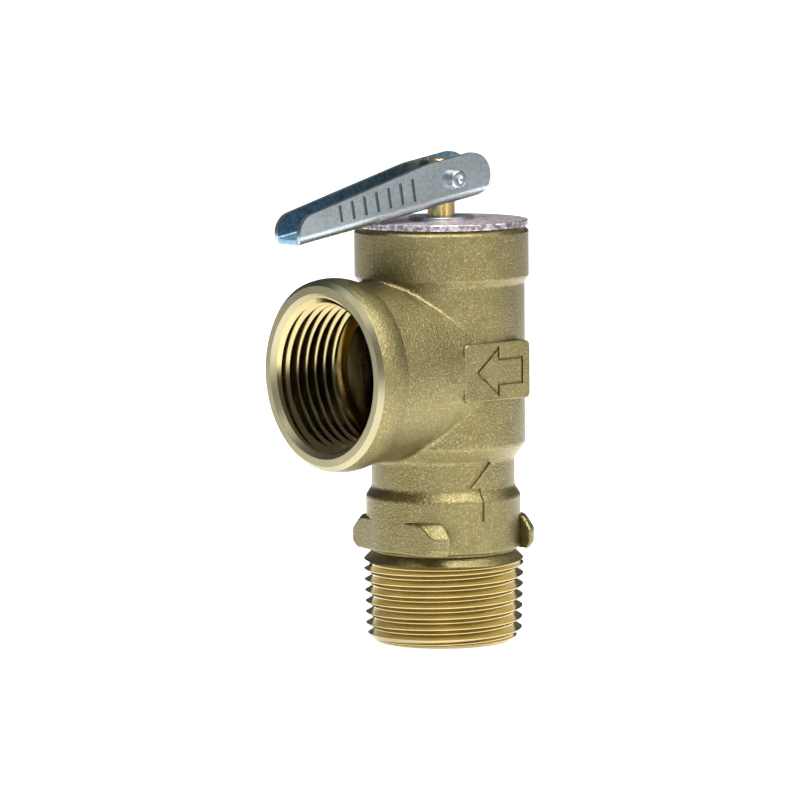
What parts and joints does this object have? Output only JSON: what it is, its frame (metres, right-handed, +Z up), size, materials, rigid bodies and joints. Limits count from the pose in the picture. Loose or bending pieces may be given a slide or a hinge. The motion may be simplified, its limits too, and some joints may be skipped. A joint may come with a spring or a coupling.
{
  "type": "pressure relief valve",
  "caption": "Brass angle relief valve with a male threaded inlet below, a female threaded side outlet, a sprung poppet inside and a hinged test lever on top.",
  "frame": {"origin": "centre of the inlet's lower end", "axes": "+Z up along the inlet, the spring and the stem; the outlet points to -X; the lever's pin lies along Y"},
  "size_m": [0.0468, 0.0318, 0.0812],
  "materials": {
    "forged_brass": "as forged, fine grain, with machined threads and faces",
    "turned_brass": "turned",
    "zinc_plate": "zinc plated, passivated",
    "zinc_lever": "zinc plated, dull",
    "spring_steel": "drawn wire",
    "stainless": "plain",
    "rubber": "moulded",
    "bushing": "plain"
  },
  "bodies": {
    "body": {"valve_body": "forged_brass", "upper_spring_plate": "zinc_plate", "spring_cap": "turned_brass", "cap_o_ring": "rubber", "stem_bushing": "bushing", "stem_o_ring": "rubber", "o_ring_washer": "stainless", "name_plate": "zinc_plate"},
    "swivel": {"stem_washer": "zinc_lever"},
    "stem": {"stem": "turned_brass", "stem_clip": "spring_steel", "lift_washer": "stainless"},
    "lever": {"lever": "zinc_lever", "lever_pin": "zinc_lever"},
    "poppet": {"disc_holder": "turned_brass", "seat_disc": "rubber", "disc_washer": "stainless", "disc_screw": "stainless", "lift_nut": "turned_brass", "lower_spring_plate": "zinc_plate", "relief_spring": "spring_steel"}
  },
  "joints": [
    {"name": "lever_swivel", "type": "hinge", "parent": "body", "child": "swivel", "pos_m": [0, 0, 0.0702], "axis": [0, 0, 1], "continuous": true},
    {"name": "stem_lift", "type": "slide", "parent": "swivel", "child": "stem", "axis": [0, 0, 1], "range_m": [0, 0.00181]},
    {"name": "lever_hinge", "type": "hinge", "parent": "stem", "child": "lever", "pos_m": [0, 0, 0.077], "axis": [0, 1, 0], "range_deg": [0, 90]},
    {"name": "poppet_lift", "type": "slide", "parent": "body", "child": "poppet", "axis": [0, 0, 1], "range_m": [0, 0.00181], "stiffness_N_per_m": 400, "springref_m": -0.002, "deforming": ["relief_spring"]}
  ],
  "couplings": [
    {"joint": "lever_hinge", "follows": "poppet_lift", "rad_per_m": 867.8},
    {"joint": "stem_lift", "follows": "poppet_lift", "ratio": 1}
  ]
}
